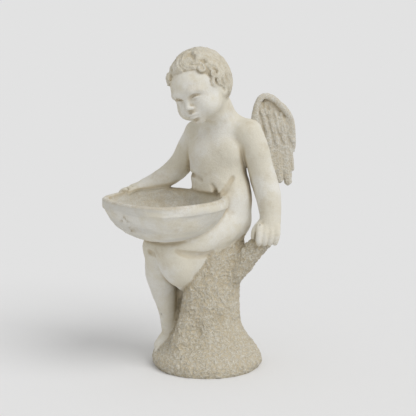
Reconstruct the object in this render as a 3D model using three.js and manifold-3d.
// Cherub garden statue, cast in one piece of stone: a seated winged child on a tree stump, steadying
// a square-shouldered basin on the lap with one hand and resting the other on a branch stub.
// Millimetres, +Z up. The origin is the centre of the flat underside; -Y is the statue's display side.
import * as THREE from "three";
import { mergeVertices } from "three/addons/utils/BufferGeometryUtils.js";
import Module from "manifold-3d";

const wasm = await Module();
wasm.setup();

// ---------------------------------------------------------------------------------------------
// Driving dimensions
// ---------------------------------------------------------------------------------------------
// Each part of the body turns to the statue's own right by this many degrees.
const HIP_TURN = 45;
const CHEST_TURN = 31;
const HEAD_TURN = 30;
const HEAD_NOD = 14; // degrees the face looks down
const HEAD_LEAN = 16; // degrees the crown leans to the statue's right

const HIPS_AT = [36, 36, 388];
const CHEST_AT = [36, 34, 575];
const HEAD_AT = [-20, -30, 736]; // middle of the skull
const SKULL = { left: 68, forward: 78, up: 68 }; // its half sizes

const BASIN = { x: -106, y: -70, rim: 455, halfWidth: 161, halfDepth: 168, height: 112, wall: 17, band: 27 };
const BASIN_SQUARENESS = 1.62; // 2 is an oval basin, 1 a lozenge with sharp corners

const BASE = { halfWidth: 140, halfDepth: 154 };
const MOUND_TOP = 48; // where the base's side turns in to the mound's slope

const rad = THREE.MathUtils.degToRad;
const vec = (x, y, z) => new THREE.Vector3(x, y, z);

// ---------------------------------------------------------------------------------------------
// Body frames: places are given to the figure's own left, forward and up
// ---------------------------------------------------------------------------------------------
class Frame {
  constructor(origin, turn, nod = 0, lean = 0) {
    const [s, c] = [Math.sin(rad(turn)), Math.cos(rad(turn))];
    this.origin = vec(...origin);
    this.forward = vec(-s, -c, 0).multiplyScalar(Math.cos(rad(nod))).setZ(-Math.sin(rad(nod)));
    this.left = vec(c, -s, 0).applyAxisAngle(this.forward, rad(lean));
    this.up = new THREE.Vector3().crossVectors(this.forward, this.left);
    this.matrix = new THREE.Matrix4().makeBasis(this.left, this.forward.clone().negate(), this.up);
  }
  at(left, forward, up) {
    return this.origin
      .clone()
      .addScaledVector(this.left, left)
      .addScaledVector(this.forward, forward)
      .addScaledVector(this.up, up);
  }
}
const hips = new Frame(HIPS_AT, HIP_TURN);
const chest = new Frame(CHEST_AT, CHEST_TURN);
const head = new Frame(HEAD_AT, HEAD_TURN, HEAD_NOD, HEAD_LEAN);

// ---------------------------------------------------------------------------------------------
// Modelling tools
// ---------------------------------------------------------------------------------------------
// The value at t, from 0 to 1, of the smooth curve through evenly spaced values.
function spline(values, t) {
  const last = values.length - 1;
  const place = Math.min(Math.max(t, 0), 1) * last;
  const i = Math.min(Math.floor(place), last - 1);
  const u = place - i;
  const [a, b, c, d] = [values[Math.max(i - 1, 0)], values[i], values[i + 1], values[Math.min(i + 2, last)]];
  return b + 0.5 * u * (c - a + u * (2 * a - 5 * b + 4 * c - d + u * (3 * (b - c) + d - a)));
}

// Joins a row of equal rings into a skin and closes each end on one point.
function skin(rings, first, last) {
  const sides = rings[0].length;
  const faces = [];
  rings.slice(1).forEach((_, r) => {
    for (let s = 0; s < sides; s++) {
      const a = 1 + r * sides + s;
      const b = 1 + r * sides + ((s + 1) % sides);
      faces.push(a, b, b + sides, a, b + sides, a + sides);
    }
  });
  const end = 1 + rings.length * sides;
  for (let s = 0; s < sides; s++) {
    const next = (s + 1) % sides;
    faces.push(0, 1 + next, 1 + s, end, end - sides + s, end - sides + next);
  }
  return new THREE.BufferGeometry().setFromPoints([first, ...rings.flat(), last]).setIndex(faces);
}

function solidOf(geometry) {
  const bare = geometry.clone();
  bare.deleteAttribute("normal");
  bare.deleteAttribute("uv");
  const merged = mergeVertices(bare, 1e-3);
  const mesh = new wasm.Mesh({
    numProp: 3,
    vertProperties: merged.attributes.position.array,
    triVerts: new Uint32Array(merged.index.array),
  });
  return new wasm.Manifold(mesh);
}

// A rounded limb: circles on the smooth line through stations [x, y, z, radius]. Its ends are domed,
// or plain points where pointed is set. squeeze {along, to} flattens the circles in one direction.
function limb(stations, { sides = 8, pointed = false, squeeze = null } = {}) {
  const value = (k, t) => spline(stations.map((s) => s[k]), t);
  const centre = (t) => vec(value(0, t), value(1, t), value(2, t));
  const heading = (t) => centre(t + 0.01).sub(centre(t - 0.01)).normalize();
  const across = vec(0.31, 0.52, 0.79).cross(heading(0)).normalize();
  const ring = (t, slide, shrink) => {
    const along = heading(t);
    across.addScaledVector(along, -across.dot(along)).normalize();
    const other = new THREE.Vector3().crossVectors(along, across);
    const radius = value(3, t);
    return Array.from({ length: sides }, (_, s) => {
      const angle = (2 * Math.PI * s) / sides;
      const out = across.clone().multiplyScalar(Math.cos(angle)).addScaledVector(other, Math.sin(angle));
      out.multiplyScalar(radius * shrink);
      if (squeeze) out.addScaledVector(squeeze.along, (squeeze.to - 1) * out.dot(squeeze.along));
      return out.add(centre(t)).addScaledVector(along, slide * radius);
    });
  };
  const rings = stations.map((_, i) => ring(i / (stations.length - 1), 0, 1));
  if (!pointed) {
    rings.unshift(ring(0, -0.75, 0.66));
    rings.push(ring(1, 0.75, 0.66));
  }
  const tip = (t, slide) => centre(t).addScaledVector(heading(t), slide * value(3, t));
  return solidOf(skin(rings, tip(0, -1), tip(1, 1)));
}

// Level ovals stacked up a spine: rows of [x, y, z, half length, half width, heading in degrees].
// swell(angle, z) scales a point of the oval.
function stack(rows, { sides = 20, swell = () => 1 } = {}) {
  const rings = rows.map(([x, y, z, long, wide, heading]) =>
    Array.from({ length: sides }, (_, s) => {
      const angle = (2 * Math.PI * s) / sides;
      const p = long * swell(angle, z) * Math.cos(angle);
      const q = wide * swell(angle, z) * Math.sin(angle);
      return vec(p, q, 0).applyAxisAngle(vec(0, 0, 1), rad(heading)).add(vec(x, y, z));
    }),
  );
  const middle = (row) => vec(row[0], row[1], row[2]);
  return solidOf(skin(rings, middle(rows[0]), middle(rows.at(-1))));
}

// An egg with half sizes [left, forward, up], set in a body frame.
function egg(frame, place, [left, forward, up], sides = 12) {
  const round = new THREE.SphereGeometry(1, sides, Math.round(sides * 0.6)).rotateX(Math.PI / 2);
  round.scale(left, forward, up).applyMatrix4(frame.matrix).translate(...frame.at(...place).toArray());
  return solidOf(round);
}

const join = (parts) => wasm.Manifold.union(parts);
const pair = (make) => [make(-1), make(1)].flat();
// Stations given in a body frame as [left, forward, up, radius].
const within = (frame, rows) => rows.map(([l, f, u, radius]) => [...frame.at(l, f, u).toArray(), radius]);

// ---------------------------------------------------------------------------------------------
// Stump: a mound that flares out to the ground, the trunk, its bark lip, a root and the branch stub
// ---------------------------------------------------------------------------------------------
function stump() {
  const { halfWidth: R, halfDepth: D } = BASE;
  const knobbly = (angle, z) => {
    const bark = THREE.MathUtils.smoothstep(z, MOUND_TOP, 110);
    return 1 + 0.03 * bark * (Math.cos(5 * angle + 0.8) + 0.7 * Math.cos(9 * angle + z / 40));
  };
  const body = stack([
    [0, 0, 0, R - 5, D - 3, 0], [0, 0, 12, R + 3, D, 0], [0, 0, 28, R + 1, D - 4, 0],
    [3, 2, MOUND_TOP, R - 14, D - 22, 0], [6, 5, 68, R - 34, D - 48, 0], [7, 8, 92, 89, 92, 0],
    [7, 10, 122, 79, 82, 0], [10, 12, 165, 75, 77, 0], [15, 16, 210, 71, 74, 0], [26, 22, 258, 65, 70, 0],
    [38, 28, 300, 59, 66, 0], [44, 32, 335, 52, 58, 0],
  ], { sides: 18, swell: knobbly });
  const lip = limb([[6, -56, 304, 14], [-14, -62, 262, 18], [-34, -60, 222, 21], [-42, -54, 186, 24],
    [-45, -50, 146, 27], [-54, -56, 104, 29], [-70, -68, 62, 26]]);
  const shoulder = limb([[10, -34, 296, 36], [-6, -38, 240, 40], [-12, -36, 190, 42], [-14, -34, 140, 44]]);
  const web = limb([[-64, 34, 50, 42], [-60, 40, 110, 38], [-50, 46, 200, 34], [-40, 50, 270, 34],
    [-14, 52, 310, 34]]);
  const flap = limb([[70, 6, 296, 18], [82, 2, 322, 13], [88, 0, 344, 7]], { sides: 7 });
  const branch = limb([[56, -6, 236, 30], [82, -14, 259, 30], [106, -18, 291, 27], [135, -22, 324, 25],
    [160, -25, 348, 24]]);
  return [body, lip, shoulder, web, flap, branch];
}

// ---------------------------------------------------------------------------------------------
// Basin: square-shouldered in plan with one corner to the front, and a flat band under the rim
// ---------------------------------------------------------------------------------------------
// Turns a profile of [share of the half size, height] and pulls its circles out to the basin's plan.
function turned(profile, sides = 24) {
  const points = profile.map(([share, height]) => new THREE.Vector2(share, height));
  const lathe = new THREE.LatheGeometry(points, sides).rotateX(Math.PI / 2);
  const at = lathe.attributes.position;
  const power = (x) => Math.abs(x) ** BASIN_SQUARENESS;
  for (let i = 0; i < at.count; i++) {
    const [x, y] = [at.getX(i), at.getY(i)];
    const share = Math.hypot(x, y);
    const grow = share > 0 ? share / (power(x) + power(y)) ** (1 / BASIN_SQUARENESS) : 0;
    at.setX(i, BASIN.x + x * grow * BASIN.halfWidth);
    at.setY(i, BASIN.y + y * grow * BASIN.halfDepth);
    at.setZ(i, BASIN.rim + at.getZ(i));
  }
  return solidOf(lathe);
}

function basinOutside() {
  const { height, band } = BASIN;
  return turned([
    [0, -height], [0.3, -height * 0.967], [0.5, -height * 0.91], [0.67, -height * 0.79],
    [0.79, -height * 0.655], [0.88, -height * 0.5], [0.93, -height * 0.37], [0.965, -band - 3],
    [1, -band + 3], [1, -3], [0.985, 0], [0, 0],
  ]);
}

function basinHollow() {
  const { halfWidth, height, wall } = BASIN;
  const mouth = 1 - wall / halfWidth;
  const depth = height - wall;
  return turned([
    [0, -depth], [mouth * 0.34, -depth * 0.95], [mouth * 0.6, -depth * 0.83], [mouth * 0.82, -depth * 0.6],
    [mouth * 0.94, -depth * 0.33], [mouth * 0.985, -9], [mouth, 4], [0, 4],
  ]);
}

// ---------------------------------------------------------------------------------------------
// Figure
// ---------------------------------------------------------------------------------------------
function torso() {
  const trunk = stack([
    [34, 36, 322, 54, 50, -HIP_TURN], [36, 36, 345, 67, 61, -HIP_TURN], [38, 38, 385, 78, 70, -HIP_TURN],
    [41, 39, 425, 81, 73, -42], [37, 36, 465, 80, 70, -38], [30, 34, 505, 78, 64, -34],
    [28, 32, 545, 78, 61, -CHEST_TURN], [31, 34, 582, 78, 56, -CHEST_TURN],
    [35, 33, 612, 66, 46, -CHEST_TURN], [36, 28, 636, 46, 38, -CHEST_TURN],
  ], { sides: 15 });
  const neck = limb([[38, 32, 608, 50], [30, 22, 644, 47], [16, 6, 676, 48], [-2, -10, 704, 50]]);
  const yoke = limb(within(chest, [[-70, -6, 26, 35], [-40, -4, 42, 33], [0, -6, 52, 34], [42, -4, 46, 34],
    [72, -2, 32, 36]]));
  const belly = egg(hips, [11, 8, 66], [72, 56, 66]);
  const flank = limb([[58, 14, 390, 47], [62, 8, 430, 47], [62, 10, 470, 41]]);
  const breasts = pair((side) => egg(chest, [side * 34, 32, -12], [38, 26, 36], 8));
  const buttocks = pair((side) => egg(hips, [side * 30, -20, -12], [43, 47, 45], 8));
  const blades = pair((side) => egg(chest, [side * 38, -32, 10], [32, 24, 40], 8));
  return [trunk, neck, yoke, belly, flank, ...breasts, ...buttocks, ...blades];
}

function legs() {
  const rightThigh = limb([[26, 72, 376, 58], [-30, 36, 360, 55], [-84, -8, 342, 49], [-122, -40, 322, 42]]);
  const rightShin = limb([[-122, -42, 318, 41], [-123, -40, 286, 37], [-122, -18, 246, 38],
    [-114, 2, 198, 33], [-104, 14, 140, 24], [-99, 24, 92, 24]]);
  const rightFoot = limb([[-92, 38, 66, 25], [-104, 20, 58, 25], [-119, 6, 46, 21]]);
  const rightToes = Array.from({ length: 5 }, (_, i) =>
    limb([[-112 + 4 * i, -10 + 8 * i, 46, 9], [-125 + 3 * i, -12 + 9 * i, 39, 9 - 0.6 * i],
      [-134 + 3 * i, -13 + 9 * i, 34, 5]], { sides: 5, pointed: true }));
  const leftThigh = limb([[56, 14, 382, 55], [18, -24, 366, 58], [-36, -60, 347, 54], [-86, -84, 320, 46]]);
  const leftCalf = limb([[-86, -84, 316, 45], [-80, -80, 290, 45], [-73, -68, 264, 39], [-67, -54, 240, 25],
    [-62, -40, 220, 15]]);
  const underThigh = limb([[-20, -48, 330, 39], [-40, -60, 296, 38], [-56, -62, 262, 30]]);
  const leftFoot = limb([[-58, 16, 206, 20], [-78, 36, 172, 22], [-90, 50, 148, 17]]);
  return [rightThigh, rightShin, rightFoot, ...rightToes, leftThigh, leftCalf, underThigh, leftFoot];
}

function arms() {
  const leftArm = limb([[108, -6, 612, 35], [125, -8, 567, 35], [136, -4, 528, 33], [147, -2, 488, 34],
    [158, -8, 450, 33], [163, -14, 412, 29], [164, -18, 386, 26]]);
  const leftPalm = limb([[163, -20, 382, 26], [158, -28, 358, 27]], { sides: 7 });
  const leftFingers = Array.from({ length: 4 }, (_, i) =>
    limb([[134 + 15 * i, -46 + 2 * i, 366, 11], [133 + 15 * i, -56 + 3 * i, 348, 10],
      [132 + 14 * i, -52 + 3 * i, 330, 7]], { sides: 5, pointed: true }));
  const leftThumb = limb([[142, -24, 380, 12], [126, -32, 364, 11], [120, -36, 344, 8]],
    { sides: 5, pointed: true });
  const rightArm = limb([[-24, 72, 600, 35], [-45, 92, 560, 34], [-66, 102, 520, 32], [-96, 94, 492, 29.5],
    [-130, 82, 475, 24], [-160, 70, 465, 18]]);
  const rightPalm = limb([[-160, 70, 464, 18], [-176, 62, 461, 16], [-192, 54, 458, 14]], { sides: 7 });
  const rightFingers = Array.from({ length: 4 }, (_, i) =>
    limb([[-180 - 11 * i, 62 - 15 * i, 463 - 1.5 * i, 9], [-193 - 10 * i, 76 - 16 * i, 455 - 1.5 * i, 9],
      [-198 - 10 * i, 82 - 17 * i, 430, 7]], { sides: 5, pointed: true }));
  const rightThumb = limb([[-172, 52, 462, 10], [-188, 36, 459, 9], [-206, 20, 449, 7]],
    { sides: 5, pointed: true });
  return [leftArm, leftPalm, ...leftFingers, leftThumb, rightArm, rightPalm, ...rightFingers, rightThumb];
}

function face() {
  const jaw = egg(head, [0, 12, -38], [62, 56, 48], 12);
  const cheeks = pair((side) => egg(head, [side * 28, 34, -46], [34, 34, 32], 9));
  const chin = egg(head, [0, 48, -76], [20, 20, 13], 8);
  const nose = limb(within(head, [[0, 70, -8, 7], [0, 78, -24, 8], [0, 80, -36, 9]]), { sides: 7 });
  const mouth = egg(head, [0, 62, -56], [17, 15, 11], 7);
  const eyes = pair((side) => egg(head, [side * 25, 64, -17], [12, 8, 8], 7));
  const ears = pair((side) => egg(head, [side * 62, -2, -26], [10, 13, 20], 7));
  return [jaw, chin, nose, mouth, ...cheeks, ...eyes, ...ears];
}

// Hair: a close cap, and rows of tapering locks that run down from the crown and sweep sideways.
function hair() {
  const { left, forward, up } = SKULL;
  const cranium = egg(head, [0, 0, 0], [left, forward, up], 10);
  const cap = egg(head, [0, -14, 11], [left + 4, forward + 2, up + 2], 11);
  const nape = egg(head, [10, -24, -8], [left - 4, forward - 14, up - 8], 9);
  const onSkull = (turn, fall, lift) => {
    const [sf, cf] = [Math.sin(rad(fall)), Math.cos(rad(fall))];
    return [
      Math.sin(rad(turn)) * sf * (left + lift),
      -10 + Math.cos(rad(turn)) * sf * (forward + lift),
      8 + cf * (up + lift),
    ];
  };
  const lock = (turn, from, to, sweep, width) =>
    limb(within(head, [0, 0.5, 1].map((t) => [
      ...onSkull(turn + sweep * t * t, from + (to - from) * t, 3 + 3 * Math.sin(Math.PI * t)),
      width * (1 - 0.5 * t) * (t === 0 ? 0.8 : 1),
    ])), { sides: 4, pointed: true });
  // The hair ends on the brow in front, above the ears at the sides and at the nape behind.
  const hairline = (turn) => 50 + 60 * (0.5 - 0.5 * Math.cos(rad(turn)));
  const rows = [
    { count: 4, from: 0.1, to: 0.55, sweep: 34, width: 15 },
    { count: 6, from: 0.42, to: 0.84, sweep: -18, width: 16 },
    { count: 7, from: 0.72, to: 1.04, sweep: 16, width: 15 },
  ];
  const locks = rows.flatMap(({ count, from, to, sweep, width }, row) =>
    Array.from({ length: count }, (_, i) => {
      const turn = (360 * (i + 0.5 * row)) / count;
      return lock(turn, from * hairline(turn), to * hairline(turn), sweep, width);
    }));
  return [cranium, cap, nape, ...locks];
}

// ---------------------------------------------------------------------------------------------
// Wings: a thin blade, a thick leading edge that arches over it, and rows of feathers
// ---------------------------------------------------------------------------------------------
// Where a wing leaves the back, and its angle to the shoulders.
const WING = { rootOut: 28, rootBack: 64, sweep: 51 };

function wing(side) {
  const root = chest.at(side * WING.rootOut, -WING.rootBack, 0);
  const out = chest.left
    .clone()
    .multiplyScalar(side * Math.cos(rad(WING.sweep)))
    .addScaledVector(chest.forward, -Math.sin(rad(WING.sweep)));
  const face = new THREE.Vector3().crossVectors(out, vec(0, 0, 1)).multiplyScalar(side);
  const at = (spread, z, proud = 0) =>
    root.clone().addScaledVector(out, spread).addScaledVector(face, proud).setZ(z);
  const heading = THREE.MathUtils.radToDeg(Math.atan2(out.y, out.x));
  // Level cuts of the blade: [height, from, to, half thickness].
  const blade = stack([
    [466, 112, 136, 4], [485, 98, 143, 6], [530, 78, 147, 7], [590, 0, 146, 8],
    [630, 0, 139, 8], [652, 28, 128, 8], [680, 36, 100, 7], [698, 50, 74, 5],
  ].map(([z, from, to, thick]) => {
    const middle = at((from + to) / 2, z).toArray();
    return [...middle, (to - from) / 2, thick, heading];
  }), { sides: 8 });
  const edge = limb([
    [28, 606, 15], [34, 648, 10], [46, 690, 9], [78, 693, 9.5], [112, 662, 10], [136, 616, 10], [146, 560, 8],
  ].map(([spread, z, radius]) => [...at(spread, z, 3).toArray(), radius]), { sides: 6 });
  const feather = (from, to, width) => {
    const middle = [(from[0] + to[0]) / 2 + 3, (from[1] + to[1]) / 2];
    const rows = [[...from, width * 0.8], [...middle, width], [...to, width * 0.55]];
    return limb(rows.map(([spread, z, radius]) => [...at(spread, z).toArray(), radius]),
      { sides: 4, pointed: true, squeeze: { along: face, to: 0.9 } });
  };
  // Each primary is longer than the one before, up to the last but one.
  const tips = [[62, 532], [84, 500], [105, 477], [124, 469], [139, 482]];
  const primaries = tips.map((tip, i) => feather([50 + 17.5 * i, 606], tip, 12));
  const coverts = Array.from({ length: 3 }, (_, i) =>
    feather([50 + 26 * i, 640], [66 + 28 * i, 564 + 5 * i], 15));
  const joint = limb(within(chest, [
    [side * 30, -20, 10, 34], [side * 38, -56, 12, 26], [side * 52, -84, 12, 16],
  ]), { sides: 7 });
  return [blade, edge, joint, ...primaries, ...coverts];
}

// The hollow is cut through the belly too, so that the basin's wall runs on in front of it. The arms come
// after, because the right thumb reaches into the hollow.
const lower = join([...stump(), ...legs(), basinOutside(), ...torso()]).subtract(basinHollow());
const statue = join([lower, ...arms(), ...face(), ...hair(), ...pair(wing)]);

// ---------------------------------------------------------------------------------------------
// The scene graph
// ---------------------------------------------------------------------------------------------
function geometryOf(solid) {
  const mesh = solid.getMesh();
  const geometry = new THREE.BufferGeometry();
  geometry.setAttribute("position", new THREE.BufferAttribute(new Float32Array(mesh.vertProperties), 3));
  geometry.setIndex(new THREE.BufferAttribute(mesh.triVerts, 1));
  geometry.computeVertexNormals();
  return geometry;
}

const stone = new THREE.MeshStandardMaterial({ color: 0xd8d3c4, roughness: 0.9, metalness: 0 });
const part = new THREE.Group();
const cherub = new THREE.Mesh(geometryOf(statue), stone);
cherub.name = "cherub_statue";
part.add(cherub);
export default part;
